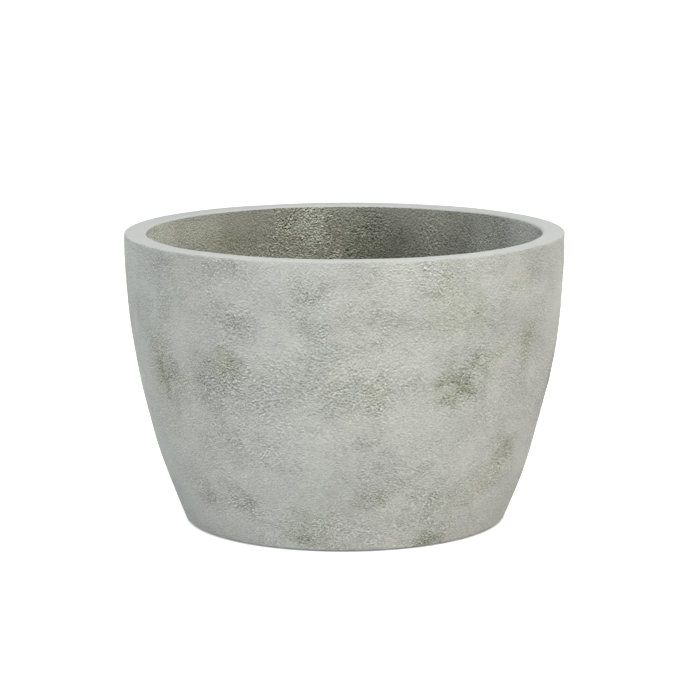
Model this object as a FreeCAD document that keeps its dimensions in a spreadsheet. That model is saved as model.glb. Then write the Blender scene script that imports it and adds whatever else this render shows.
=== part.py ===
import FreeCAD, Part
import math
import os
import Sketcher

os.makedirs("parts", exist_ok=True)
doc = FreeCAD.newDocument("round_planter")

# Driving sizes in millimetres: the ground is z = 0 and the planter's axis is Z.
DRIVING_SIZES = {
    # Cast shell
    "rim_diameter": 600,
    "base_diameter": 441,
    "shell_height": 394.5,
    "lip_height": 9.5,            # upright band under the rim, above the curved wall
    "wall_thickness": 30,
    "floor_thickness": 36,
    "rim_outer_round": 2,
    "rim_inner_round": 3,
    "base_round": 4,
    "inside_round": 40,           # between the wall and the floor
    # Sleeve that lines the drain hole
    "sleeve_bore": 36,
    "sleeve_wall": 3,
    "flange_width": 14,
    "flange_thickness": 3,
    "flange_round": 0.8,
    "ledge_width": 3,             # carries the screen
    "ledge_height": 4,
    "sleeve_clearance": 0.3,      # grout line round the sleeve and its flange
    # Screen on the sleeve's ledge
    "screen_thickness": 2.5,
    "screen_clearance": 0.3,
    "screen_hole_diameter": 5,
    "screen_ring_radius": 10,
    # Stopper in the sleeve
    "plug_clearance": 0.3,
    "plug_end_gap": 3,            # between the stopper's end and the screen
    "plug_rib_depth": 1.5,
    "plug_rib_height": 2.5,
    "plug_head_overlap": 7,       # rests on the sleeve's flange
    "plug_head_thickness": 4,
    "plug_round": 1.2,
    "neck_diameter": 12,
    "neck_height": 8,
    "knob_diameter": 24,
    "knob_height": 7,
    # Feet
    "pad_diameter": 50,
    "pad_thickness": 6,
    "pad_stand": 1.5,             # how far the shell stands off the ground
    "pad_inset": 25,              # from the edge of the base to the edge of a pad
    "pad_clearance": 0.3,
    "pad_bevel": 1,
}
SCREEN_RING_HOLES = 8
PLUG_RIBS = 3
FOOT_PADS = {
    "foot_pad_front_left": (-1, -1),
    "foot_pad_front_right": (1, -1),
    "foot_pad_rear_left": (-1, 1),
    "foot_pad_rear_right": (1, 1),
}
MATCH = 0.01                      # tolerance for finding an edge by its size and place
DRAFT_MIDDLE = 60                 # where a sketch's points start, before its constraints move them
DRAFT_SPREAD = 40
DRAFT_RADIUS = 5

sheet = doc.addObject("Spreadsheet::Sheet", "Sizes")
for row, (alias, value) in enumerate(DRIVING_SIZES.items(), start=1):
    sheet.set("A%d" % row, alias)
    sheet.set("B%d" % row, str(value))
    sheet.setAlias("B%d" % row, alias)
doc.recompute()


# Expressions that several sub-parts share
SHELL_UNDERSIDE = "Sizes.pad_stand"
FLOOR_TOP = "(Sizes.pad_stand + Sizes.floor_thickness)"
BORE_RADIUS = "Sizes.sleeve_bore / 2"
SLEEVE_RADIUS = "(Sizes.sleeve_bore / 2 + Sizes.sleeve_wall)"
FLANGE_RADIUS = "(Sizes.sleeve_bore / 2 + Sizes.sleeve_wall + Sizes.flange_width)"
LEDGE_TOP = "(Sizes.pad_stand + Sizes.ledge_height)"
SCREEN_TOP = "(Sizes.pad_stand + Sizes.ledge_height + Sizes.screen_thickness)"
PAD_OFFSET = "(Sizes.base_diameter / 2 - Sizes.pad_inset - Sizes.pad_diameter / 2) * cos(45 deg)"


def size(alias):
    return float(sheet.get(alias))


def new_body(label):
    body = doc.addObject("PartDesign::Body", label)
    body.Label = label
    return body


def new_sketch(body, name, plane):
    origin_plane = [feature for feature in body.Origin.OriginFeatures if feature.Role == plane][0]
    sketch = body.newObject("Sketcher::SketchObject", name)
    sketch.AttachmentSupport = [(origin_plane, "")]
    sketch.MapMode = "FlatFace"
    return sketch


def bind(sketch, name, constraint, expression):
    index = sketch.addConstraint(constraint)
    sketch.renameConstraint(index, name)
    sketch.setExpression("Constraints." + name, expression)


def revolve(body, sketch, name):
    revolution = body.newObject("PartDesign::Revolution", name)
    revolution.Profile = sketch
    revolution.ReferenceAxis = (sketch, ["V_Axis"])
    revolution.Angle = 360
    sketch.Visibility = False
    doc.recompute()
    return revolution


# A turned solid: its half-section is a closed outline of (radius, height) expressions, and a
# corner with no radius lies on the axis.
def turned_solid(body, name, corners):
    sketch = new_sketch(body, name + "_profile", "XZ_Plane")
    count = len(corners)
    # The corners start spread round a circle, and the constraints draw them to their places.
    starts = []
    for index in range(count):
        turn = 2 * math.pi * index / count
        across = DRAFT_MIDDLE + DRAFT_SPREAD * math.sin(turn)
        up = DRAFT_MIDDLE - DRAFT_SPREAD * math.cos(turn)
        starts.append(FreeCAD.Vector(across, up, 0))
    for index in range(count):
        sketch.addGeometry(Part.LineSegment(starts[index], starts[(index + 1) % count]), False)
    for index in range(count):
        sketch.addConstraint(Sketcher.Constraint("Coincident", index, 2, (index + 1) % count, 1))
    for index, (radius, height) in enumerate(corners):
        if radius:
            across = Sketcher.Constraint("DistanceX", -1, 1, index, 1, starts[index].x)
            bind(sketch, "radius_%d" % index, across, radius)
        else:
            sketch.addConstraint(Sketcher.Constraint("PointOnObject", index, 1, -2))
        if height:
            up = Sketcher.Constraint("DistanceY", -1, 1, index, 1, starts[index].y)
            bind(sketch, "height_%d" % index, up, height)
        else:
            sketch.addConstraint(Sketcher.Constraint("PointOnObject", index, 1, -1))
    return revolve(body, sketch, name)


# Full circles about the Z axis with the given radius and height
def ring_edges(shape, radius, height):
    names = []
    for index, edge in enumerate(shape.Edges, start=1):
        curve = edge.Curve
        if not isinstance(curve, Part.Circle):
            continue
        centre = curve.Center
        on_axis = math.hypot(centre.x, centre.y) < MATCH
        if on_axis and abs(centre.z - height) < MATCH and abs(curve.Radius - radius) < MATCH:
            names.append("Edge%d" % index)
    return names


def round_rings(body, base, name, alias, rings):
    fillet = body.newObject("PartDesign::Fillet", name)
    edges = []
    for radius, height in rings:
        edges += ring_edges(base.Shape, radius, height)
    fillet.Base = (base, edges)
    fillet.setExpression("Radius", "Sizes." + alias)
    doc.recompute()
    return fillet


# Circle sketch whose centre is given by expressions, or lies on the axis without them
def circle_sketch(body, name, diameter, centre_x=None, centre_y=None):
    sketch = new_sketch(body, name, "XY_Plane")
    start = FreeCAD.Vector(DRAFT_MIDDLE if centre_x else 0, DRAFT_MIDDLE if centre_y else 0, 0)
    sketch.addGeometry(Part.Circle(start, FreeCAD.Vector(0, 0, 1), DRAFT_RADIUS), False)
    if centre_x:
        bind(sketch, "centre_x", Sketcher.Constraint("DistanceX", -1, 1, 0, 3, start.x), centre_x)
    else:
        sketch.addConstraint(Sketcher.Constraint("PointOnObject", 0, 3, -2))
    if centre_y:
        bind(sketch, "centre_y", Sketcher.Constraint("DistanceY", -1, 1, 0, 3, start.y), centre_y)
    else:
        sketch.addConstraint(Sketcher.Constraint("PointOnObject", 0, 3, -1))
    bind(sketch, "diameter", Sketcher.Constraint("Diameter", 0, 2 * DRAFT_RADIUS), diameter)
    return sketch


# Cut upwards from the sketch
def pocket_up(body, sketch, name, depth):
    pocket = body.newObject("PartDesign::Pocket", name)
    pocket.Profile = sketch
    pocket.Reversed = True
    pocket.setExpression("Length", depth)
    sketch.Visibility = False
    doc.recompute()
    return pocket


def polar_copies(body, feature, sketch, name, count):
    pattern = body.newObject("PartDesign::PolarPattern", name)
    pattern.Originals = [feature]
    pattern.Axis = (sketch, ["N_Axis"])
    pattern.Angle = 360
    pattern.Occurrences = count
    body.Tip = pattern
    doc.recompute()
    return pattern


# Half-section of the bowl: an upright lip, then a wall whose outer and inner faces are arcs of
# one centre, level with the lip's lower end so that they run into it smoothly.
def shell_profile(body):
    base_radius = size("base_diameter") / 2
    rim_radius = size("rim_diameter") / 2
    underside = size("pad_stand")
    rim_top = underside + size("shell_height")
    lip_foot = rim_top - size("lip_height")
    floor_top = underside + size("floor_thickness")
    inner_rim = rim_radius - size("wall_thickness")
    drop = lip_foot - underside
    flare = rim_radius - base_radius
    outer_arc = (drop * drop + flare * flare) / (2 * flare)
    inner_arc = outer_arc - size("wall_thickness")
    centre = FreeCAD.Vector(rim_radius - outer_arc, lip_foot, 0)
    floor_angle = math.asin((lip_foot - floor_top) / inner_arc)
    inner_floor = centre.x + inner_arc * math.cos(floor_angle)
    normal = FreeCAD.Vector(0, 0, 1)

    sketch = new_sketch(body, "shell_profile", "XZ_Plane")
    outline = [
        Part.LineSegment(FreeCAD.Vector(0, underside, 0), FreeCAD.Vector(base_radius, underside, 0)),
        Part.ArcOfCircle(Part.Circle(centre, normal, outer_arc), -math.asin(drop / outer_arc), 0),
        Part.LineSegment(FreeCAD.Vector(rim_radius, lip_foot, 0), FreeCAD.Vector(rim_radius, rim_top, 0)),
        Part.LineSegment(FreeCAD.Vector(rim_radius, rim_top, 0), FreeCAD.Vector(inner_rim, rim_top, 0)),
        Part.LineSegment(FreeCAD.Vector(inner_rim, rim_top, 0), FreeCAD.Vector(inner_rim, lip_foot, 0)),
        Part.ArcOfCircle(Part.Circle(centre, normal, inner_arc), -floor_angle, 0),
        Part.LineSegment(FreeCAD.Vector(inner_floor, floor_top, 0), FreeCAD.Vector(0, floor_top, 0)),
        Part.LineSegment(FreeCAD.Vector(0, floor_top, 0), FreeCAD.Vector(0, underside, 0)),
    ]
    base, wall, lip, rim, inner_lip, inner_wall, floor, axis = sketch.addGeometry(outline, False)
    joined = [
        (base, 2, wall, 1),
        (wall, 2, lip, 1),
        (lip, 2, rim, 1),
        (rim, 2, inner_lip, 1),
        (inner_lip, 2, inner_wall, 2),
        (inner_wall, 1, floor, 1),
        (floor, 2, axis, 1),
        (axis, 2, base, 1),
        (wall, 3, inner_wall, 3),
    ]
    for ends in joined:
        sketch.addConstraint(Sketcher.Constraint("Coincident", *ends))
    for line in (base, rim, floor):
        sketch.addConstraint(Sketcher.Constraint("Horizontal", line))
    for line in (lip, inner_lip):
        sketch.addConstraint(Sketcher.Constraint("Vertical", line))
    for line in (base, axis):
        sketch.addConstraint(Sketcher.Constraint("PointOnObject", line, 1, -2))
    sketch.addConstraint(Sketcher.Constraint("Horizontal", wall, 2, wall, 3))
    sketch.addConstraint(Sketcher.Constraint("Horizontal", inner_wall, 2, inner_wall, 3))

    up = Sketcher.Constraint("DistanceY", -1, 1, base, 1, underside)
    bind(sketch, "underside", up, SHELL_UNDERSIDE)
    across = Sketcher.Constraint("DistanceX", -1, 1, base, 2, base_radius)
    bind(sketch, "base_radius", across, "Sizes.base_diameter / 2")
    across = Sketcher.Constraint("DistanceX", -1, 1, lip, 2, rim_radius)
    bind(sketch, "rim_radius", across, "Sizes.rim_diameter / 2")
    up = Sketcher.Constraint("DistanceY", base, 2, lip, 2, size("shell_height"))
    bind(sketch, "shell_height", up, "Sizes.shell_height")
    up = Sketcher.Constraint("DistanceY", lip, 1, lip, 2, size("lip_height"))
    bind(sketch, "lip_height", up, "Sizes.lip_height")
    across = Sketcher.Constraint("DistanceX", rim, 2, rim, 1, size("wall_thickness"))
    bind(sketch, "wall_thickness", across, "Sizes.wall_thickness")
    up = Sketcher.Constraint("DistanceY", axis, 2, axis, 1, size("floor_thickness"))
    bind(sketch, "floor_thickness", up, "Sizes.floor_thickness")
    return sketch, inner_floor


def planter_shell():
    body = new_body("planter_shell")
    sketch, inner_floor = shell_profile(body)
    bowl = revolve(body, sketch, "bowl")

    underside = size("pad_stand")
    rim_top = underside + size("shell_height")
    floor_top = underside + size("floor_thickness")
    rim_radius = size("rim_diameter") / 2
    inner_rim = rim_radius - size("wall_thickness")
    inside = round_rings(body, bowl, "inside_edge", "inside_round", [(inner_floor, floor_top)])
    outer_rim = round_rings(body, inside, "outer_rim_edge", "rim_outer_round", [(rim_radius, rim_top)])
    inner = round_rings(body, outer_rim, "inner_rim_edge", "rim_inner_round", [(inner_rim, rim_top)])
    round_rings(body, inner, "base_edge", "base_round", [(size("base_diameter") / 2, underside)])

    # Counterbored drain hole, which seats the sleeve's flange flush with the floor
    drain = circle_sketch(body, "drain_centre", "2 * (%s + Sizes.sleeve_clearance)" % SLEEVE_RADIUS)
    pocket_up(body, drain, "drain_hole", FLOOR_TOP)
    seat = circle_sketch(body, "flange_seat_outline", "2 * (%s + Sizes.sleeve_clearance)" % FLANGE_RADIUS)
    seat.setExpression(".AttachmentOffset.Base.z", FLOOR_TOP + " - Sizes.flange_thickness")
    pocket_up(body, seat, "flange_seat", "Sizes.flange_thickness")

    # Recesses for the foot pads
    recess_diameter = "Sizes.pad_diameter + 2 * Sizes.pad_clearance"
    recess = circle_sketch(body, "pad_recess_outline", recess_diameter, PAD_OFFSET, PAD_OFFSET)
    pocket = pocket_up(body, recess, "pad_recess", "Sizes.pad_thickness")
    polar_copies(body, pocket, recess, "pad_recesses", len(FOOT_PADS))
    return body


# Flanged bush with an inner ledge at its foot
def drain_sleeve():
    body = new_body("drain_sleeve")
    ledge_radius = BORE_RADIUS + " - Sizes.ledge_width"
    flange_underside = FLOOR_TOP + " - Sizes.flange_thickness"
    sleeve = turned_solid(body, "sleeve", [
        (ledge_radius, SHELL_UNDERSIDE),
        (SLEEVE_RADIUS, SHELL_UNDERSIDE),
        (SLEEVE_RADIUS, flange_underside),
        (FLANGE_RADIUS, flange_underside),
        (FLANGE_RADIUS, FLOOR_TOP),
        (BORE_RADIUS, FLOOR_TOP),
        (BORE_RADIUS, LEDGE_TOP),
        (ledge_radius, LEDGE_TOP),
    ])
    floor_top = size("pad_stand") + size("floor_thickness")
    bore = size("sleeve_bore") / 2
    flange = bore + size("sleeve_wall") + size("flange_width")
    round_rings(body, sleeve, "flange_edges", "flange_round", [(bore, floor_top), (flange, floor_top)])
    return body


# Perforated disc: one hole in the middle and a ring of holes round it
def drain_screen():
    body = new_body("drain_screen")
    outline = circle_sketch(body, "disc_outline", "Sizes.sleeve_bore - 2 * Sizes.screen_clearance")
    outline.setExpression(".AttachmentOffset.Base.z", LEDGE_TOP)
    disc = body.newObject("PartDesign::Pad", "disc")
    disc.Profile = outline
    disc.setExpression("Length", "Sizes.screen_thickness")
    outline.Visibility = False
    doc.recompute()
    middle = circle_sketch(body, "middle_hole_outline", "Sizes.screen_hole_diameter")
    pocket_up(body, middle, "middle_hole", SCREEN_TOP)
    ring = circle_sketch(body, "ring_hole_outline", "Sizes.screen_hole_diameter", "Sizes.screen_ring_radius")
    hole = pocket_up(body, ring, "ring_hole", SCREEN_TOP)
    polar_copies(body, hole, ring, "ring_holes", SCREEN_RING_HOLES)
    return body


# Ribbed stopper with a head that rests on the flange and a knob to pull it out by
def drain_plug():
    body = new_body("drain_plug")
    rib_radius = BORE_RADIUS + " - Sizes.plug_clearance"
    shank_radius = rib_radius + " - Sizes.plug_rib_depth"
    head_radius = BORE_RADIUS + " + Sizes.plug_head_overlap"
    plug_end = "(%s + Sizes.plug_end_gap)" % SCREEN_TOP
    shank_length = "(%s - %s)" % (FLOOR_TOP, plug_end)
    head_top = FLOOR_TOP + " + Sizes.plug_head_thickness"
    knob_foot = head_top + " + Sizes.neck_height"
    knob_top = knob_foot + " + Sizes.knob_height"

    corners = [("", plug_end), (shank_radius, plug_end)]
    for rib in range(PLUG_RIBS):
        rib_middle = "%s + %s * %d / %d" % (plug_end, shank_length, 2 * rib + 1, 2 * PLUG_RIBS)
        corners += [
            (shank_radius, rib_middle + " - Sizes.plug_rib_height / 2"),
            (rib_radius, rib_middle),
            (shank_radius, rib_middle + " + Sizes.plug_rib_height / 2"),
        ]
    corners += [
        (shank_radius, FLOOR_TOP),
        (head_radius, FLOOR_TOP),
        (head_radius, head_top),
        ("Sizes.neck_diameter / 2", head_top),
        ("Sizes.neck_diameter / 2", knob_foot),
        ("Sizes.knob_diameter / 2", knob_foot),
        ("Sizes.knob_diameter / 2", knob_top),
        ("", knob_top),
    ]
    plug = turned_solid(body, "plug", corners)
    head_height = size("pad_stand") + size("floor_thickness") + size("plug_head_thickness")
    knob_bottom = head_height + size("neck_height")
    knob_height = knob_bottom + size("knob_height")
    head = size("sleeve_bore") / 2 + size("plug_head_overlap")
    knob = size("knob_diameter") / 2
    neck = size("neck_diameter") / 2
    rings = [(head, head_height), (neck, head_height), (neck, knob_bottom)]
    rings += [(knob, knob_bottom), (knob, knob_height)]
    round_rings(body, plug, "plug_edges", "plug_round", rings)
    return body


# Disc with a bevelled foot, placed under one corner of the base
def foot_pad(label, side_x, side_y):
    body = new_body(label)
    pad_radius = "Sizes.pad_diameter / 2"
    turned_solid(body, label + "_disc", [
        ("", ""),
        (pad_radius + " - Sizes.pad_bevel", ""),
        (pad_radius, "Sizes.pad_bevel"),
        (pad_radius, "Sizes.pad_thickness"),
        ("", "Sizes.pad_thickness"),
    ])
    body.setExpression(".Placement.Base.x", "%d * %s" % (side_x, PAD_OFFSET))
    body.setExpression(".Placement.Base.y", "%d * %s" % (side_y, PAD_OFFSET))
    return body


sub_parts = [planter_shell(), drain_sleeve(), drain_screen(), drain_plug()]
for label, (side_x, side_y) in FOOT_PADS.items():
    sub_parts.append(foot_pad(label, side_x, side_y))
doc.recompute()

for item in doc.Objects:
    if "Invalid" in item.State or "Error" in item.State:
        raise RuntimeError("%s did not build: %s" % (item.Label, item.State))
for body in sub_parts:
    if body.Shape.isNull() or not body.Shape.isValid() or len(body.Shape.Solids) != 1:
        raise RuntimeError("%s is not one valid solid" % body.Label)
    body.Shape.exportStep("parts/%s.step" % body.Label)
    print("%-22s %10.1f cm3" % (body.Label, body.Shape.Volume / 1000))
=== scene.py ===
import math

import bpy
import numpy as np
from mathutils import Matrix, Vector


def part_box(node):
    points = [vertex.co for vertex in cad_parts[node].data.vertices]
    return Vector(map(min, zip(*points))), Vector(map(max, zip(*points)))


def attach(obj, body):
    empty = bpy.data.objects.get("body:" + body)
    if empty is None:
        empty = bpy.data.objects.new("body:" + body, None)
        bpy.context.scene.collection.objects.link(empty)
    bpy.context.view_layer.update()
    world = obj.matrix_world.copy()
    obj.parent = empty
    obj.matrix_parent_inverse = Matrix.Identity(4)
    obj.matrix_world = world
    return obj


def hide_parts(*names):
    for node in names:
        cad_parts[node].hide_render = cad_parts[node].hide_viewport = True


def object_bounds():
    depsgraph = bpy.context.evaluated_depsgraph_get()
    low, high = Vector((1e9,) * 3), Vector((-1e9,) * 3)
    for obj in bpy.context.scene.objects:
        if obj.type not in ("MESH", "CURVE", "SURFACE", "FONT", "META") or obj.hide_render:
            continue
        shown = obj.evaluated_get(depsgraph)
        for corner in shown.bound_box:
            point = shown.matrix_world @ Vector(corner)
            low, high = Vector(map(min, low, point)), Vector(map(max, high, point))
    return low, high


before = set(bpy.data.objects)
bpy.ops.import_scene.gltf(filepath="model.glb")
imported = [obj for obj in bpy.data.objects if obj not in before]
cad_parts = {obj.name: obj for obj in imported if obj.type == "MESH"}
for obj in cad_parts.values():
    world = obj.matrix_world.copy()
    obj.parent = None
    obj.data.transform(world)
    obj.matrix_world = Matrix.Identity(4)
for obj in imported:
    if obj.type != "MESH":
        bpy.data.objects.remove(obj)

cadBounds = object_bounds()
print("frame loaded:", len(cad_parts), "nodes")


# Node helpers

# A value that is a socket is linked, any other value is set on the socket.
def feed(tree, socket, value):
    if isinstance(value, bpy.types.NodeSocket):
        tree.links.new(value, socket)
    else:
        socket.default_value = value


# A new node, with its settings made and its inputs fed
def addNode(tree, kind, inputs=None, **settings):
    node = tree.nodes.new(kind)
    for name, value in settings.items():
        setattr(node, name, value)
    for name, value in (inputs or {}).items():
        feed(tree, node.inputs[name], value)
    return node


# One step of arithmetic; MULTIPLY_ADD is the first value times the second plus the third.
def calc(tree, operation, *values, clamp=False):
    node = addNode(tree, "ShaderNodeMath", operation=operation, use_clamp=clamp)
    for socket, value in zip(node.inputs, values):
        feed(tree, socket, value)
    return node.outputs[0]


# The first colour times (1 - factor) plus the second times the factor, or another blend of the two
def mixColours(tree, factor, first, second, blend="MIX"):
    node = addNode(tree, "ShaderNodeMix", data_type="RGBA", blend_type=blend)
    feed(tree, node.inputs[0], factor)
    feed(tree, node.inputs[6], first)        # the node's colour sockets come after those for
    feed(tree, node.inputs[7], second)       # numbers and vectors
    return node.outputs[2]


# Noise: layers of smooth noise, each twice as fine as the last and weaker by the roughness
def noiseNode(tree, vector, scale, detail=2.0, roughness=0.5, distortion=0.0):
    inputs = {"Vector": vector, "Scale": scale, "Detail": detail}
    inputs.update({"Roughness": roughness, "Distortion": distortion})
    return addNode(tree, "ShaderNodeTexNoise", inputs)


noiseMean = 0.5


# The noise's grey value, from 0 to 1 about its mean
def cloud(tree, vector, *settings):
    return noiseNode(tree, vector, *settings).outputs[0]


# Smooth step: from start to end while the value goes from low to high, and level beyond them
def fade(tree, value, low, high, start=0.0, end=1.0):
    inputs = {"Value": value, "From Min": low, "From Max": high, "To Min": start, "To Max": end}
    return addNode(tree, "ShaderNodeMapRange", inputs, interpolation_type="SMOOTHSTEP").outputs[0]


# A value that the mesh keeps on its points
def surfaceValue(tree, name):
    return addNode(tree, "ShaderNodeAttribute", attribute_name=name).outputs["Fac"]


# Relief: the surface leans with the slope of the height times the depth.
def addRelief(tree, shader, height, depth, strength):
    bump = addNode(tree, "ShaderNodeBump", {"Height": height, "Distance": depth, "Strength": strength})
    feed(tree, shader.inputs["Normal"], bump.outputs[0])


# A material with one shader, and the place on the object that its patterns read
def newMaterial(name):
    material = bpy.data.materials.new(name)
    material.use_nodes = True
    tree = material.node_tree
    tree.nodes.clear()
    output = addNode(tree, "ShaderNodeOutputMaterial")
    shader = addNode(tree, "ShaderNodeBsdfPrincipled")
    tree.links.new(shader.outputs[0], output.inputs[0])
    place = addNode(tree, "ShaderNodeTexCoord").outputs["Object"]
    return material, tree, shader, place


# Cast shell

shellLow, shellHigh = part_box("planter_shell")
shell = {
    "rimRadius": shellHigh.x,
    "rimTop": shellHigh.z,
    "underside": shellLow.z,
    "baseRadius": 0.2205,
    "lip": 0.0095,                # upright band at the top of the wall
    "wall": 0.030,
    "floor": 0.036,
    "rimOuterRound": 0.002,
    "rimInnerRound": 0.003,
    "baseRound": 0.004,
    "insideRound": 0.040,
    "holeRadius": 0.0213,         # round the drain sleeve
    "seatRadius": 0.0353,         # round the sleeve's flange
    "seatDepth": 0.003,
    "smoothEdge": 0.0007,         # the rim's smooth finish fades out this far down its outer edge
    "creaseAngle": 50,            # degrees; sharper edges than this stay crisp
    "wave": 0.00035,              # cast waviness of the wall, and its length
    "waveLength": 0.12,
    "ripple": 0.00022,            # relief of the rough patches, and its length
    "rippleLength": 0.016,
    "rimLoose": 0.35,             # the share of both that the rim takes
    "seed": 11,
    "turns": 480,                 # grid steps round the axis
    "steps": {                    # and along each stretch of the section
        "underside": 14,
        "baseRound": 7,
        "wall": 92,
        "lip": 5,
        "rimOuterRound": 6,
        "rimTop": 8,
        "rimInnerRound": 7,
        "lipInside": 3,
        "wallInside": 36,
        "insideRound": 9,
        "floor": 12,
        "seatSide": 1,
        "seatFloor": 2,
        "hole": 3,
    },
}


# Even steps from 0 up to, but not including, 1
def evenSteps(count):
    return np.arange(count) / count


# Straight run between two (radius, height) points: start times (1 - t) plus end times t.
def runPoints(start, end, count):
    t = evenSteps(count)[:, None]
    return np.array(start) * (1 - t) + np.array(end) * t


# Arc: centre plus radius times (cos a, sin a), with a going evenly from one angle to the other.
def arcPoints(centre, radius, startAngle, endAngle, count):
    a = startAngle + (endAngle - startAngle) * evenSteps(count)
    return np.stack([centre[0] + radius * np.cos(a), centre[1] + radius * np.sin(a)], 1)


# The shell's half-section, a closed loop of (radius, height) points from the drain hole out along
# the underside, up the wall, over the rim and back down the inside. The wall's two faces are arcs
# of one centre, level with the foot of the lip, and each corner is an arc that touches both sides.
# Returns the points and, for each point, the name of its stretch.
def shellSection(s):
    top, under = s["rimTop"], s["underside"]
    hole, seat = s["holeRadius"], s["seatRadius"]
    outerRim, innerRim = s["rimRadius"], s["rimRadius"] - s["wall"]
    lipFoot = top - s["lip"]
    floorTop = under + s["floor"]
    seatFloor = floorTop - s["seatDepth"]

    # The outer arc is upright at the foot of the lip and passes through the edge of the base.
    drop = lipFoot - under
    flare = outerRim - s["baseRadius"]
    outerArc = (drop * drop + flare * flare) / (2 * flare)
    innerArc = outerArc - s["wall"]
    centre = (outerRim - outerArc, lipFoot)

    # A corner circle of radius f on a level plane touches an arc from within where its centre
    # is (arc radius - f) from the arc's centre.
    def cornerCentre(arcRadius, plane, f):
        below = centre[1] - plane - f
        across = math.sqrt((arcRadius - f) ** 2 - below * below)
        return (centre[0] + across, plane + f), -math.atan2(below, across)

    baseRound, insideRound = s["baseRound"], s["insideRound"]
    outerRound, innerRound = s["rimOuterRound"], s["rimInnerRound"]
    baseCorner, baseAngle = cornerCentre(outerArc, under, baseRound)
    insideCorner, insideAngle = cornerCentre(innerArc, floorTop, insideRound)
    rimOuter = (outerRim - outerRound, top - outerRound)
    rimInner = (innerRim + innerRound, top - innerRound)
    quarter = math.pi / 2
    n = s["steps"]
    stretches = [
        ("under", runPoints((hole, under), (baseCorner[0], under), n["underside"])),
        ("under", arcPoints(baseCorner, baseRound, -quarter, baseAngle, n["baseRound"])),
        ("outside", arcPoints(centre, outerArc, baseAngle, 0, n["wall"])),
        ("outside", runPoints((outerRim, lipFoot), (outerRim, rimOuter[1]), n["lip"])),
        ("rim", arcPoints(rimOuter, outerRound, 0, quarter, n["rimOuterRound"])),
        ("rim", runPoints((rimOuter[0], top), (rimInner[0], top), n["rimTop"])),
        ("rim", arcPoints(rimInner, innerRound, quarter, 2 * quarter, n["rimInnerRound"])),
        ("inside", runPoints((innerRim, rimInner[1]), (innerRim, lipFoot), n["lipInside"])),
        ("inside", arcPoints(centre, innerArc, 0, insideAngle, n["wallInside"])),
        ("inside", arcPoints(insideCorner, insideRound, insideAngle, -quarter, n["insideRound"])),
        ("inside", runPoints((insideCorner[0], floorTop), (seat, floorTop), n["floor"])),
        ("seat", runPoints((seat, floorTop), (seat, seatFloor), n["seatSide"])),
        ("seat", runPoints((seat, seatFloor), (hole, seatFloor), n["seatFloor"])),
        ("seat", runPoints((hole, seatFloor), (hole, under), n["hole"])),
    ]
    points = np.concatenate([run for name, run in stretches])
    names = np.concatenate([np.repeat(name, len(run)) for name, run in stretches])
    return points, names


# The section's outward normal: its direction, from the point before to the point after, turned
# a quarter to the right.
def sectionNormal(section):
    along = np.roll(section, -1, 0) - np.roll(section, 1, 0)
    along /= np.linalg.norm(along, axis=1)[:, None]
    return np.stack([along[:, 1], -along[:, 0]], 1)


# Surface of revolution: (radius, height) becomes (radius sin a, -radius cos a, height), with a
# going evenly once round from the front. A section that is the same all round has one row.
def revolve(section, turns):
    a = 2 * math.pi * evenSteps(turns)
    around = np.stack([np.sin(a), -np.cos(a)], 1)
    level = section[..., :1] * around[:, None, :]
    height = np.broadcast_to(section[..., 1], level.shape[:2])
    return np.concatenate([level, height[..., None]], -1)


# Smooth random field: the sum of plane waves in random directions about one wavelength, each
# the cosine of (wave vector . point + phase), divided so that its spread is about 1.
def waves(points, wavelength, seed, count=24, pitchRange=(0.6, 1.5)):
    draw = np.random.RandomState(seed)
    direction = draw.normal(size=(count, 3))
    direction /= np.linalg.norm(direction, axis=1)[:, None]
    pitch = 2 * math.pi / wavelength * draw.uniform(*pitchRange, count)
    phase = draw.uniform(0, 2 * math.pi, count)
    total = np.zeros(points.shape[:-1])
    for k in range(count):
        total += np.cos(points @ (direction[k] * pitch[k]) + phase[k])
    return total / math.sqrt(count / 2)


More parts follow.
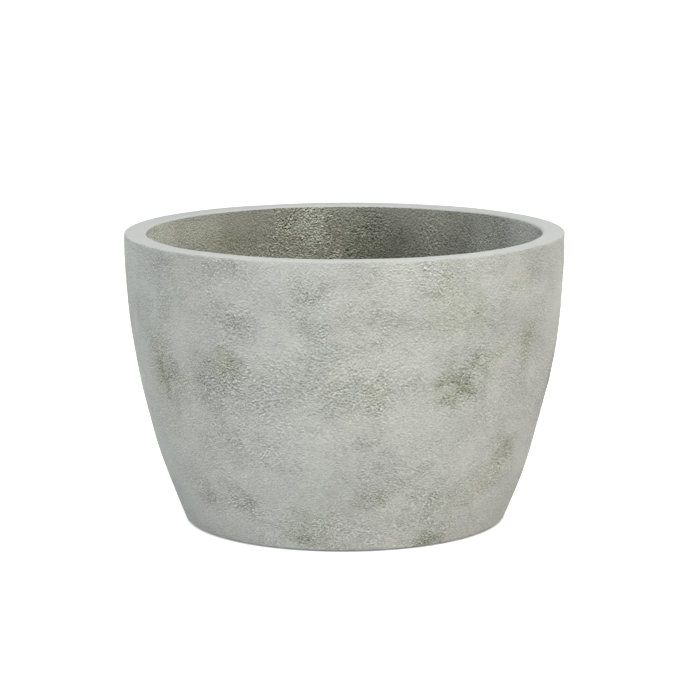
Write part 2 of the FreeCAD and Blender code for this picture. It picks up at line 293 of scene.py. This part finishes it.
# Weather patches on the outside, some of which paint light and shade: angle from the front
# (degrees, right is plus), height, half width and half height (mm), then how rough, how dark
# (minus is pale) and how olive each one is.
weatherAndLight = {
    "front": [
        # Left, from the rim down
        (-31, 383, 24, 12, 0.7, 0.45, 0.1),
        (-52, 382, 24, 15, 0.5, 0.35, 0.0),
        (-53, 314, 18, 20, 0.5, 0.4, 0.0),
        (-28.7, 310, 28, 16, 0.6, 0.6, 0.0),
        (-32, 258, 14, 10, 1.1, 0.55, 0.7),
        (-25, 250, 14, 14, 0.4, 0.3, 0.1),
        (-56, 240, 19, 30, 1.0, 0.8, 0.5),
        (-31, 236, 26, 24, 1.1, 0.05, 0.1),
        (-20, 232, 26, 20, 0.6, 0.1, 0.1),
        (-38.5, 223, 20, 20, 0.9, 0.4, 0.2),
        (-53.5, 221, 15, 16, 0.8, 0.15, 0.35),
        (-47, 221, 18, 6, 0.3, 0.1, 0.5),
        (-57.5, 217, 13, 14, 0.5, 0.35, 0.55),
        (-20, 170, 34, 48, 0.5, -0.1, 0.0),
        (-38, 140, 50, 40, 0.3, 0.2, 0.0),
        (-32, 66, 15, 12, 0.9, 0.55, 0.1),
        (-47, 64, 18, 12, 0.6, 0.65, 0.0),
        (-38, 60, 40, 18, 0.6, 0.1, 0.0),
        # Middle, from the rim down
        (15, 384, 22, 11, 0.3, 0.35, 0.0),
        (8, 380, 70, 26, 0.2, -0.5, 0.0),
        (-8.8, 363, 20, 14, 0.6, 0.4, 0.0),
        (-11, 343, 24, 20, 0.5, 0.4, 0.0),
        (1.6, 327, 18, 16, 0.3, 0.3, 0.0),
        (10.4, 320, 18, 9, 0.4, 0.25, 0.2),
        (-7.7, 308, 11, 13, 0.5, 0.5, 0.0),
        # Painted shade: a broad faint dark row that dims the lamps' light on the middle of the front
        (8, 300, 60, 60, 0.0, 0.2, 0.1),
        (7.5, 294, 22, 14, 0.3, 0.3, 0.3),
        (-3.6, 282, 14, 18, 0.4, 0.3, 0.0),
        (12, 262, 34, 22, 0.2, -0.2, 0.0),
        (-9.5, 245, 15, 24, 0.5, 0.3, 0.0),
        (0, 236, 20, 8, 0.2, 0.0, 0.3),
        (10.5, 232, 14, 9, 0.2, 0.0, 0.25),
        (5.5, 226, 16, 9, 0.3, -0.1, 0.4),
        (2, 214, 40, 20, 1.3, -0.9, 0.15),
        (6.5, 211, 12, 12, 0.5, -0.1, 0.35),
        (-10, 173, 15, 7, 0.3, 0.3, 0.0),
        (9, 168, 11, 20, 0.5, 0.35, 0.1),
        (4.5, 155, 20, 12, 0.4, 0.25, 0.0),
        (10, 117, 22, 16, 0.3, 0.3, 0.0),
        (16, 110, 40, 40, 0.3, 0.2, 0.0),
        (0, 95, 170, 36, 0.0, 0.16, 0.0),
        (8, 76, 14, 9, 0.9, 0.95, 0.8),
        (-11, 38, 26, 20, 0.7, 0.85, 0.3),
        (-2, 25, 30, 18, 0.2, -0.7, 0.0),
        # Painted light: a broad pale row over the foot, where the wall leans towards the floor and gets
        # less light
        (4, 18, 120, 26, 0.3, -1.4, 0.0),
        (-12.5, 17, 16, 10, 0.8, 1.8, 0.5),
        # Right, from the rim down
        (39, 380, 18, 14, 0.3, 0.45, 0.1),
        (19.4, 374, 10, 11, 0.5, 0.35, 0.0),
        (55, 369, 13, 15, 0.4, 0.35, 0.1),
        (50, 353, 16, 16, 0.2, 0.1, 0.3),
        (21, 347, 11, 11, 0.6, 0.45, 0.1),
        (27, 338, 26, 38, 0.7, -0.3, 0.45),
        (35, 311, 24, 15, 0.4, 0.4, 0.25),
        (54.5, 271, 13, 20, 0.8, 0.65, 0.7),
        (44, 266, 24, 10, 0.2, 0.05, 0.3),
        (45, 255, 30, 32, 0.3, 0.15, 0.1),
        (35, 254, 18, 13, 0.8, 0.55, 0.2),
        (21, 243, 16, 16, 0.2, 0.3, 0.1),
        (31, 226, 22, 16, 1.1, 1.6, 0.8),
        (26, 222, 14, 9, 0.8, 0.25, 0.35),
        (33.5, 212, 10, 9, 0.6, 0.6, 0.2),
        (20, 198, 22, 13, 0.2, -0.1, 0.0),
        (18, 161, 24, 15, 0.3, -0.1, 0.0),
        (53.5, 124, 15, 14, 0.7, 1.1, 0.9),
        (22, 113, 15, 11, 0.3, 0.25, 0.0),
        (51, 103, 22, 20, 0.7, -0.15, 0.4),
        (43, 80, 34, 16, 0.4, -0.1, 0.2),
        (25, 69, 18, 12, 0.6, 0.25, 0.1),
        (41, 68, 18, 22, 0.4, 0.15, 0.2),
        (27, 40, 22, 26, 0.8, 0.7, 0.3),
        (40, 40, 30, 30, 0.1, -0.2, 0.15),
        (30, 13, 15, 9, 0.7, 1.4, 0.4),
    ],
    # The same for the part of the inside that shows from the front, from left to right. Many rows
    # paint the inside's light and shade: pale at the rim, most on the left wall where light from the
    # right falls, and dark low on the back wall, so that the painted shade deepens downwards
    "inside": [
        # Painted light on the left inside wall, which faces the light from the right
        (-102, 384, 66, 30, 0.2, -1.5, 0.25),
        (-128, 366, 40, 34, 0.0, -0.45, 0.35),
        (-146, 348, 22, 18, 0.2, 0.6, 0.3),
        (-161, 358, 20, 40, 1.0, 0.35, 0.3),
        (-170, 366, 27, 40, 1.7, -0.8, 0.35),
        (178, 346, 26, 28, 1.1, 0.75, 0.3),
        (171, 368, 14, 18, 0.6, -0.1, 0.0),
        # These two rows paint shade low on the back wall, deepening downwards below the front rim
        (166, 338, 46, 44, -0.2, 1.4, 0.1),
        (160, 316, 105, 26, 0.0, 0.65, 0.0),
        (152, 354, 14, 24, 0.7, 0.1, 0.0),
        (143, 358, 22, 30, 0.3, 0.95, 0.0),
        (126, 372, 24, 26, 0.9, 0.1, 0.0),
        # Painted light near the rim on the right
        (106, 384, 56, 28, 0.4, -1.0, 0.0),
    ],
    "edge": 80,                    # the front patches lie within this many degrees of the front
    "backCount": 75,               # strewn patches over the rest of the outside
    "insideCount": 110,            # and over the inside, below what shows from the front
    "seenInside": 0.33,            # height above which the inside shows
    "strewnSize": (0.008, 0.028),  # half height
    "strewnWidth": (0.8, 2.0),     # half width, in half heights
    "strewnRough": (0.3, 1.1),
    "paleShare": 0.25,             # share of the strewn patches that are pale, and how pale
    "strewnPale": -0.4,
    "strewnDark": (0.0, 0.8),      # is squared, so that most of the others are faint
    "oliveShare": 0.35,            # share that are olive, and how olive
    "strewnOlive": (0.1, 0.5),
    "wander": 0.004,               # how far the outlines stray, and over what length
    "wanderLength": 0.045,
    "roughest": 1.4,               # limit where rough patches add up
    "seed": 29,
}
mmPerMetre = 1000


# Patches placed by angle and height: the radius is the section's own at that height.
def placedPatches(rows, section):
    rows = np.array(rows)
    turn = np.radians(rows[:, 0])
    metres = rows[:, 1:4] / mmPerMetre
    order = np.argsort(section[:, 1])
    radius = np.interp(metres[:, 0], section[order, 1], section[order, 0])
    return np.column_stack([turn, radius, metres, rows[:, 4:]])


# Like patches strewn over a stretch of the section, evenly by area: a point of the section is drawn
# in proportion to its radius.
def strewnPatches(w, draw, count, section, angles):
    spot = section[draw.choice(len(section), count, p=section[:, 0] / section[:, 0].sum())]
    size = draw.uniform(*w["strewnSize"], count)
    width = size * draw.uniform(*w["strewnWidth"], count)
    rough = draw.uniform(*w["strewnRough"], count)
    isPale = draw.uniform(size=count) < w["paleShare"]
    dark = np.where(isPale, w["strewnPale"], draw.uniform(*w["strewnDark"], count) ** 2)
    isOlive = draw.uniform(size=count) < w["oliveShare"]
    olive = np.where(isOlive, draw.uniform(*w["strewnOlive"], count), 0.0)
    turn = np.radians(draw.uniform(*angles, count))
    return np.column_stack([turn, spot, width, size, rough, dark, olive])


# Each patch adds exp(-(across squared + rest squared) / 2): across is the distance from its middle
# round the pot, in half widths, and rest is the distance in the other directions, in half heights,
# for a point that has strayed by the wander field.
def patchFields(w, points, patches):
    stray = [waves(points, w["wanderLength"], w["seed"] + k) for k in range(3)]
    shifted = points + w["wander"] * np.stack(stray, -1)
    fields = np.zeros((3,) + points.shape[:-1])
    for turn, radius, height, halfWidth, halfHeight, *strengths in patches:
        middle = np.array([radius * math.sin(turn), -radius * math.cos(turn), height])
        away = shifted - middle
        across = away @ np.array([math.cos(turn), math.sin(turn), 0])
        rest = (away * away).sum(-1) - across * across
        bump = np.exp(-(across * across / halfWidth ** 2 + rest / halfHeight ** 2) / 2)
        fields += np.array(strengths)[:, None, None] * bump
    return fields


# How rough, how stained and how mossy each point is, the stain also carrying painted light and
# shade: the sums of the outside's patches on the outside and underside, of the inside's on the
# inside, and nothing elsewhere.
def patchAndLightFields(w, points, section, names):
    draw = np.random.RandomState(w["seed"])
    outside, inside = section[names == "outside"], section[names == "inside"]
    hidden = inside[inside[:, 1] < w["seenInside"]]
    outPatches = np.concatenate([
        placedPatches(w["front"], outside),
        strewnPatches(w, draw, w["backCount"], outside, (w["edge"], 360 - w["edge"])),
    ])
    inPatches = np.concatenate([
        placedPatches(w["inside"], inside),
        strewnPatches(w, draw, w["insideCount"], hidden, (0, 360)),
    ])
    outFields = patchFields(w, points, outPatches) * np.isin(names, ["outside", "under"])
    inFields = patchFields(w, points, inPatches) * (names == "inside")
    rough, stainAndLight, moss = outFields + inFields
    return np.clip(rough, 0, w["roughest"]), stainAndLight, moss


# Mesh of a grid of points that closes both ways: a quad between each four neighbours
def closedGridMesh(name, vertices):
    turns, count = vertices.shape[:2]
    index = np.arange(turns * count).reshape(turns, count)
    right = np.roll(index, -1, 0)
    quads = np.stack([index, right, np.roll(right, -1, 1), np.roll(index, -1, 1)], -1).reshape(-1, 4)
    mesh = bpy.data.meshes.new(name)
    mesh.vertices.add(turns * count)
    mesh.vertices.foreach_set("co", vertices.astype(np.float32).ravel())
    mesh.loops.add(quads.size)
    mesh.loops.foreach_set("vertex_index", quads.astype(np.int32).ravel())
    mesh.polygons.add(len(quads))
    mesh.polygons.foreach_set("loop_start", np.arange(0, quads.size, 4, dtype=np.int32))
    mesh.update(calc_edges=True)
    mesh.validate()
    return mesh


# The section turned round the axis, each point pushed along the section's own normal by the cast
# waviness and by the ripple times the roughness. The mesh keeps what its material reads.
def buildShell(s, w):
    section, names = shellSection(s)
    normal = sectionNormal(section)
    plain = revolve(section[None], s["turns"])
    rough, stainAndLight, moss = patchAndLightFields(w, plain, section, names)

    # Nothing is pushed where other pieces seat, and the rim stays nearly true.
    isWall = np.isin(names, ["outside", "inside"])
    isRim = names == "rim"
    push = s["wave"] * waves(plain, s["waveLength"], s["seed"])
    push += s["ripple"] * rough * waves(plain, s["rippleLength"], s["seed"] + 1)
    push *= np.where(isWall, 1.0, np.where(isRim, s["rimLoose"], 0.0))
    moved = section[None] + push[..., None] * normal[None]
    mesh = closedGridMesh("planterShell", revolve(moved, s["turns"]))
    mesh.shade_smooth()
    mesh.set_sharp_from_angle(angle=math.radians(s["creaseAngle"]))

    # The rim is smooth all over, but for its outer edge, where that fades out downwards.
    below = np.clip((s["rimTop"] - section[:, 1]) / s["smoothEdge"], 0, 1)
    isEdge = np.isin(names, ["outside", "rim"]) & (normal[:, 0] > 0)
    trowelled = np.where(isEdge, 1 - below, isRim)
    hollow = names == "inside"
    values = {"roughCast": rough, "stainAndLight": stainAndLight, "moss": moss, "trowelled": trowelled, "hollow": hollow}
    for name, value in values.items():
        layer = mesh.attributes.new(name, "FLOAT", "POINT")
        everywhere = np.broadcast_to(value, rough.shape)
        layer.data.foreach_set("value", np.ascontiguousarray(everywhere, dtype=np.float32).ravel())
    piece = bpy.data.objects.new("planterShell", mesh)
    bpy.context.scene.collection.objects.link(piece)
    return piece


concrete = {
    "pale": (0.580, 0.579, 0.543, 1),
    "grey": (0.480, 0.482, 0.450, 1),
    "dark": (0.185, 0.190, 0.172, 1),
    "olive": (0.34, 0.37, 0.155, 1),
    "rimPale": (0.62, 0.625, 0.605, 1),
    "rimGrey": (0.55, 0.555, 0.535, 1),
    "insidePaleAndLit": (0.70, 0.715, 0.66, 1),           # the inside's pale patches and painted light
    "limeAndHighlight": (0.60, 0.592, 0.53, 1),          # bright crests of the inside's rough patches, partly lime and partly painted highlight
    "insideShade": (0.69, 0.685, 0.64, 1),          # painted shade over the inside: its colour is multiplied by this
    # Noises: scale, detail, roughness (0.5 where it isn't given) and distortion (0 likewise)
    "bendNoise": (9.0, 2.0),                 # slow bends of the grain's lines
    "grainNoise": (370.0, 2.0, 0.5, 0.7),
    "fleckNoise": (62.0, 4.0, 0.62, 0.5),
    "zoneNoise": (14.0, 5.0, 0.62, 0.4),
    "mottleNoise": (6.0, 6.0, 0.6),
    # Fades: the noise's two limits, then the values there (0 and 1 where they aren't given)
    "zoneFade": (0.40, 0.64),
    "mottleFade": (0.30, 0.70, 0.25, 0.70),
    "pitFade": (0.60, 0.36),                 # rises to 1 in the grain's pits
    "roughFade": (0.34, 0.60, 0.35, 1.0),    # how the flecks break up the rough patches
    "stainFade": (0.40, 0.57, 0.42, 0.90),   # and the stains with their painted light and shade
    "oliveFade": (0.34, 0.62, 0.3, 1.0),     # and the olive growth
    "limeFade": (0.52, 0.66, 0.0, 0.4),      # lime and painted highlight on the grain's crests
    "wornFade": (0.50, 0.62, 0.07, 0.28),    # and wear on them
    "mattFade": (0.2, 0.8, 0.94, 0.8),       # how matt the flecks leave the surface
    "bend": 0.028,                           # how far the grain's lines bend
    "lineSqueeze": (1.0, 1.0, 1.7),          # a squeeze in height leaves level lines
    "crestShadowDrop": 0.002,                      # how far below each crest its painted shadow line lies
    "crestShade": 0.38,                      # and how dark it is
    "groundDepth": 0.38,                     # depth of the grain everywhere
    "zoneDepth": 0.26,                       # more in the broad zones
    "patchDepth": 0.62,                      # and more in the rough patches
    "trowelling": 0.8,                       # the share that is smoothed away on the rim
    "reliefDepth": 0.0052,
    "reliefStrength": 1.0,
    "grainTone": 2.45,                       # how much paler the crests are than the pits: the cement's own tone and painted light and shade of the relief
    "insideTone": 1.8,                       # and how much more so inside, where it paints the relief's light and shade
    "film": 0.28,                            # the share of the stains and painted shade that lies all over
    "insideFilm": 0.22,                      # more inside
    "inPits": 0.45,                          # and more in the grain's pits
    "insideSpread": 0.75,                    # stains and painted light and shade inside are this strong, unbroken by flecks
    "paleAndLitStrength": 0.9,                           # how strongly the pale patches and painted light show
    "gloss": 0.3,
}


# Cast concrete: pale and grey cement mottled by a broad cloud, a fine grain of short level lines
# that is deep in the rough patches and faint on the rim, with a painted shadow line below each
# crest, and dark and olive stains that are strongest in its pits; some patches paint light and
# shade. The inside is darkened by painted shade, with pale patches, painted light near its rim,
# and crests paled by lime and painted highlight.
def concreteMaterial(c):
    material, tree, shader, place = newMaterial("castConcrete")
    rough = surfaceValue(tree, "roughCast")
    stainAndLight = surfaceValue(tree, "stainAndLight")
    moss = surfaceValue(tree, "moss")
    smooth = surfaceValue(tree, "trowelled")
    hollow = surfaceValue(tree, "hollow")
    fleck = cloud(tree, place, *c["fleckNoise"])
    zone = fade(tree, cloud(tree, place, *c["zoneNoise"]), *c["zoneFade"])
    mottle = fade(tree, cloud(tree, place, *c["mottleNoise"]), *c["mottleFade"])

    # The place, moved by a slow noise, so that the level lines bend
    slow = noiseNode(tree, place, *c["bendNoise"]).outputs["Color"]
    bent = addNode(
        tree, "ShaderNodeVectorMath", {0: slow, 1: (c["bend"],) * 3, 2: place}, operation="MULTIPLY_ADD"
    ).outputs[0]

    # Noise drawn out along level lines
    def lineNoise(vector):
        lines = addNode(tree, "ShaderNodeMapping", {"Vector": vector, "Scale": c["lineSqueeze"]})
        return cloud(tree, lines.outputs[0], *c["grainNoise"])

    # The grain, less a share of the grain a little higher up: each crest has a painted shadow line below
    # it, as if lit from above
    above = addNode(tree, "ShaderNodeVectorMath", {0: bent, 1: (0, 0, c["crestShadowDrop"])}).outputs[0]
    shade = calc(tree, "SUBTRACT", noiseMean, lineNoise(above))
    grain = calc(tree, "MULTIPLY_ADD", shade, c["crestShade"], lineNoise(bent))
    pit = fade(tree, grain, *c["pitFade"])

    # Depth of the grain: a ground level, the broad zones and the rough patches broken by flecks,
    # less what is smoothed away on the rim
    patch = calc(tree, "MULTIPLY", rough, fade(tree, fleck, *c["roughFade"]))
    depth = calc(tree, "MULTIPLY_ADD", zone, c["zoneDepth"], c["groundDepth"])
    depth = calc(tree, "MULTIPLY_ADD", patch, c["patchDepth"], depth)
    depth = calc(tree, "MULTIPLY", depth, calc(tree, "MULTIPLY_ADD", smooth, -c["trowelling"], 1.0))
    crest = calc(tree, "MULTIPLY", calc(tree, "SUBTRACT", grain, noiseMean), depth)

    # Stains, painted shade and painted light: dark where the sum of the patches is above 0, pale where
    # it is below, then olive
    spread = fade(tree, fleck, *c["stainFade"])
    evened = calc(tree, "SUBTRACT", c["insideSpread"], spread)
    spread = calc(tree, "MULTIPLY_ADD", hollow, evened, spread)
    dirtAndLight = calc(tree, "MULTIPLY", stainAndLight, spread)
    cover = calc(tree, "MULTIPLY_ADD", hollow, c["insideFilm"], c["film"])
    cover = calc(tree, "MULTIPLY_ADD", pit, c["inPits"], cover)
    green = calc(tree, "MULTIPLY", moss, fade(tree, fleck, *c["oliveFade"]))
    colour = mixColours(tree, mottle, c["grey"], c["pale"])
    colour = mixColours(tree, calc(tree, "MULTIPLY", dirtAndLight, cover, clamp=True), colour, c["dark"])
    # Painted shade over the whole inside, which gets less light
    colour = mixColours(tree, hollow, colour, mixColours(tree, 1.0, colour, c["insideShade"], "MULTIPLY"))
    # Pale patches, with painted light on the inside's rim and left wall
    paleAndLit = mixColours(tree, hollow, c["pale"], c["insidePaleAndLit"])
    colour = mixColours(tree, calc(tree, "MULTIPLY", dirtAndLight, -c["paleAndLitStrength"], clamp=True), colour, paleAndLit)
    colour = mixColours(tree, calc(tree, "MULTIPLY", green, cover, clamp=True), colour, c["olive"])

    # Crests inside paled by lime and painted highlight, then the rim's own colour
    crestsLitAndLimed = calc(tree, "MULTIPLY", patch, hollow)
    crestsLitAndLimed = calc(tree, "MULTIPLY", crestsLitAndLimed, fade(tree, grain, *c["limeFade"]))
    colour = mixColours(tree, crestsLitAndLimed, colour, c["limeAndHighlight"])
    colour = mixColours(tree, smooth, colour, mixColours(tree, mottle, c["rimGrey"], c["rimPale"]))

    # The tone: 1, plus the crest's height, which paints the relief's light and shade along with the
    # cement's own tone, plus the wear on the rough patches' crests
    worn = calc(tree, "MULTIPLY", patch, fade(tree, grain, *c["wornFade"]))
    boost = calc(tree, "MULTIPLY_ADD", hollow, c["insideTone"], c["grainTone"])
    tone = calc(tree, "MULTIPLY_ADD", crest, boost, calc(tree, "ADD", worn, 1.0))
    toned = addNode(tree, "ShaderNodeVectorMath", operation="SCALE")
    feed(tree, toned.inputs[0], colour)
    feed(tree, toned.inputs["Scale"], tone)
    feed(tree, shader.inputs["Base Color"], toned.outputs[0])
    feed(tree, shader.inputs["Roughness"], fade(tree, fleck, *c["mattFade"]))
    shader.inputs["Specular IOR Level"].default_value = c["gloss"]
    addRelief(tree, shader, crest, c["reliefDepth"], c["reliefStrength"])
    return material


planterShell = buildShell(shell, weatherAndLight)
planterShell.data.materials.append(concreteMaterial(concrete))
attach(planterShell, "planter")
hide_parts("planter_shell")
print("shell:", len(planterShell.data.vertices), "points")


# Drain and feet: the CAD pieces keep their shapes and get their finishes here.

# In these settings too, a noise is its scale, detail and roughness, and a fade is the two limits
# of what it reads, then the values there.
rubber = {
    "clean": (0.022, 0.022, 0.023, 1),
    "dusty": (0.095, 0.09, 0.08, 1),
    "dustNoise": (70.0, 5.0, 0.62),
    "dustFade": (0.42, 0.72, 0.0, 0.8),
    "mattFade": (0.0, 0.8, 0.62, 0.85),
    "grainNoise": (1400.0, 2.0),
    "grainDepth": 0.00012,
    "grainStrength": 0.6,
}

plastic = {
    "clean": (0.075, 0.076, 0.078, 1),
    "dusty": (0.20, 0.20, 0.185, 1),
    "dustNoise": (55.0, 5.0, 0.6),
    "dustFade": (0.45, 0.75, 0.0, 0.7),
    "mattFade": (0.0, 0.7, 0.42, 0.75),
    "grainNoise": (900.0, 2.0),
    "grainDepth": 0.0001,
    "grainStrength": 0.5,
}


# Moulded rubber or plastic: a dark colour under a cloud of cement dust, matt where the dust lies,
# with a fine grain.
def mouldedMaterial(name, c):
    material, tree, shader, place = newMaterial(name)
    dust = fade(tree, cloud(tree, place, *c["dustNoise"]), *c["dustFade"])
    feed(tree, shader.inputs["Base Color"], mixColours(tree, dust, c["clean"], c["dusty"]))
    feed(tree, shader.inputs["Roughness"], fade(tree, dust, *c["mattFade"]))
    grain = cloud(tree, place, *c["grainNoise"])
    addRelief(tree, shader, grain, c["grainDepth"], c["grainStrength"])
    return material


steel = {
    "bright": (0.58, 0.575, 0.56, 1),
    "dull": (0.33, 0.325, 0.31, 1),
    "brushScale": (60.0, 2600.0, 60.0),
    "brushNoise": (1.0, 2.0),
    "filmNoise": (90.0, 4.0),
    "filmFade": (0.4, 0.7),
    "mattFade": (0.0, 1.0, 0.28, 0.6),
    "brushShare": 0.35,           # how far the brush lines dull the sheet
    "filmShare": 0.6,             # and how far the film does
    "brushDepth": 0.00003,
    "brushStrength": 0.4,
}


# Stainless sheet: fine brush lines along X under a patchy dull film.
def steelMaterial(c):
    material, tree, shader, place = newMaterial("stainlessSheet")
    stretched = addNode(tree, "ShaderNodeMapping", {"Vector": place, "Scale": c["brushScale"]})
    brush = cloud(tree, stretched.outputs[0], *c["brushNoise"])
    film = fade(tree, cloud(tree, place, *c["filmNoise"]), *c["filmFade"])
    film = calc(tree, "MULTIPLY", film, c["filmShare"])
    dullness = calc(tree, "MULTIPLY_ADD", brush, c["brushShare"], film, clamp=True)
    feed(tree, shader.inputs["Base Color"], mixColours(tree, dullness, c["bright"], c["dull"]))
    feed(tree, shader.inputs["Roughness"], fade(tree, dullness, *c["mattFade"]))
    shader.inputs["Metallic"].default_value = 1.0
    addRelief(tree, shader, brush, c["brushDepth"], c["brushStrength"])
    return material


# Gives CAD pieces their one material
def dress(material, *nodeNames):
    for name in nodeNames:
        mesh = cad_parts[name].data
        mesh.materials.clear()
        mesh.materials.append(material)


padNames = [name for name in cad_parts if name.startswith("foot_pad")]
dress(mouldedMaterial("mouldedRubber", rubber), "drain_plug", *padNames)
dress(mouldedMaterial("mouldedPlastic", plastic), "drain_sleeve")
dress(steelMaterial(steel), "drain_screen")
print("drain dressed, and", len(padNames), "feet")


# Stage: floor, light and camera

stage = {
    "floorSize": 60.0,
    "floorLevel": -0.0002,         # a hair under the pads, so that their faces don't coincide
    "floorColour": (0.78, 0.78, 0.78, 1),
    "floorLift": 0.62,             # glow that is only seen directly and takes the floor to white
    "gapLift": 0.16,               # the same under the base, where the gap shows as a dark line
    "glowEdge": (0.2165, 0.2225),  # radii between which the glow changes, round the base
    "background": (1, 1, 1, 1),
    "skyLeft": (0.90, 1.0, 1.03, 1),
    "skyRight": (1.0, 0.985, 0.95, 1),
    "skySides": (-0.8, 0.8),       # the tint changes between these sideways directions
    "skyStrength": 0.74,
    "skyBehind": 0.6,              # strength behind, as a share of the rest
    "skyDepth": (0.0, 0.9),        # it falls to that between these backward directions
}


# 1 for rays that show the background itself, so that metal shows it too, and 0 for rays that light
def seenDirectly(tree):
    rays = addNode(tree, "ShaderNodeLightPath")
    seen = calc(tree, "MAXIMUM", rays.outputs["Is Camera Ray"], rays.outputs["Is Glossy Ray"])
    return calc(tree, "MAXIMUM", seen, rays.outputs["Is Transmission Ray"])


# Pale floor, a square, whose own glow is only seen directly: it shows white, keeps the shadow and
# adds no light to the object.
def buildFloor(s):
    half = s["floorSize"] / 2
    level = s["floorLevel"]
    corners = [(-half, -half, level), (half, -half, level), (half, half, level), (-half, half, level)]
    mesh = bpy.data.meshes.new("floor")
    mesh.from_pydata(corners, [], [(0, 1, 2, 3)])
    floor = bpy.data.objects.new("floor", mesh)
    bpy.context.scene.collection.objects.link(floor)
    material = bpy.data.materials.new("paleFloor")
    material.use_nodes = True
    tree = material.node_tree
    tree.nodes.clear()
    output = addNode(tree, "ShaderNodeOutputMaterial")
    paint = addNode(tree, "ShaderNodeBsdfDiffuse", {"Color": s["floorColour"]})
    spot = addNode(tree, "ShaderNodeTexCoord").outputs["Object"]
    reach = addNode(tree, "ShaderNodeVectorMath", {0: spot}, operation="LENGTH").outputs["Value"]
    lift = fade(tree, reach, *s["glowEdge"], s["gapLift"], s["floorLift"])
    strength = calc(tree, "MULTIPLY", seenDirectly(tree), lift)
    glow = addNode(tree, "ShaderNodeEmission", {"Strength": strength})
    both = addNode(tree, "ShaderNodeAddShader")
    tree.links.new(paint.outputs[0], both.inputs[0])
    tree.links.new(glow.outputs[0], both.inputs[1])
    tree.links.new(both.outputs[0], output.inputs[0])
    mesh.materials.append(material)


# Soft sky: cool on the left, warm on the right and weaker behind, and white where it is seen
def buildSky(s):
    world = bpy.data.worlds.new("studio")
    bpy.context.scene.world = world
    world.use_nodes = True
    tree = world.node_tree
    tree.nodes.clear()
    output = addNode(tree, "ShaderNodeOutputWorld")
    direction = addNode(tree, "ShaderNodeTexCoord").outputs["Generated"]
    toward = addNode(tree, "ShaderNodeSeparateXYZ", {0: direction})
    side = fade(tree, toward.outputs["X"], *s["skySides"])
    tint = mixColours(tree, side, s["skyLeft"], s["skyRight"])
    weakest = s["skyStrength"] * s["skyBehind"]
    strength = fade(tree, toward.outputs["Y"], *s["skyDepth"], s["skyStrength"], weakest)
    light = addNode(tree, "ShaderNodeBackground", {"Color": tint, "Strength": strength})
    white = addNode(tree, "ShaderNodeBackground", {"Color": s["background"], "Strength": 1.0})
    mix = addNode(tree, "ShaderNodeMixShader", {"Fac": seenDirectly(tree)})
    tree.links.new(light.outputs[0], mix.inputs[1])
    tree.links.new(white.outputs[0], mix.inputs[2])
    tree.links.new(mix.outputs[0], output.inputs[0])


lamps = {
    "key": {"at": (1.5, -1.6, 1.3), "size": 0.7, "power": 13.5, "colour": (1.0, 0.955, 0.87)},
    "fill": {"at": (-0.7, -2.1, 1.0), "size": 0.9, "power": 12.0, "colour": (0.98, 0.985, 1.0)},
    "top": {"at": (0.4, -0.8, 2.2), "size": 1.2, "power": 9.0, "colour": (0.98, 0.99, 1.0)},
    "backLeft": {"at": (-1.1, 2.0, 0.35), "size": 0.5, "power": 11.0, "colour": (0.97, 1.0, 1.0)},
    "backRight": {"at": (1.1, 2.0, 0.35), "size": 0.5, "power": 13.0, "colour": (1.0, 0.99, 0.97)},
}


# Square soft lamps that point at the middle of the object
def buildLamps(settings):
    aim = (cadBounds[0] + cadBounds[1]) / 2
    for name, s in settings.items():
        light = bpy.data.lights.new(name, "AREA")
        light.size = s["size"]
        light.energy = s["power"]
        light.color = s["colour"]
        lamp = bpy.data.objects.new(name, light)
        bpy.context.scene.collection.objects.link(lamp)
        lamp.location = s["at"]
        lamp.rotation_mode = "QUATERNION"
        lamp.rotation_quaternion = (aim - Vector(s["at"])).to_track_quat("-Z", "Y")


camera = {
    "distance": 3.787,
    "height": 0.9143,
    "tilt": 0.17885,              # radians down from level
    "pan": 0.0019,                # to the right
    "roll": -0.0023,
    "focalPixels": 2796.8,        # focal length in pixels of the picture
    "imagePixels": 700,
    "sensor": 36.0,
    "clipEnd": 100,
}


# Camera in front of the object: stood at its height, then panned, tilted down and rolled.
def buildCamera(s):
    data = bpy.data.cameras.new("camera")
    data.sensor_width = s["sensor"]
    data.lens = s["sensor"] * s["focalPixels"] / s["imagePixels"]
    data.clip_end = s["clipEnd"]
    view = bpy.data.objects.new("camera", data)
    bpy.context.scene.collection.objects.link(view)
    stand = Matrix.Translation((0, -s["distance"], s["height"]))
    pan = Matrix.Rotation(-s["pan"], 4, "Z")
    tilt = Matrix.Rotation(math.pi / 2 - s["tilt"], 4, "X")
    roll = Matrix.Rotation(s["roll"], 4, "Z")
    view.matrix_world = stand @ pan @ tilt @ roll
    bpy.context.scene.camera = view


buildFloor(stage)
buildSky(stage)
buildLamps(lamps)
buildCamera(camera)
bpy.context.scene.view_settings.view_transform = "Standard"
print("stage set")
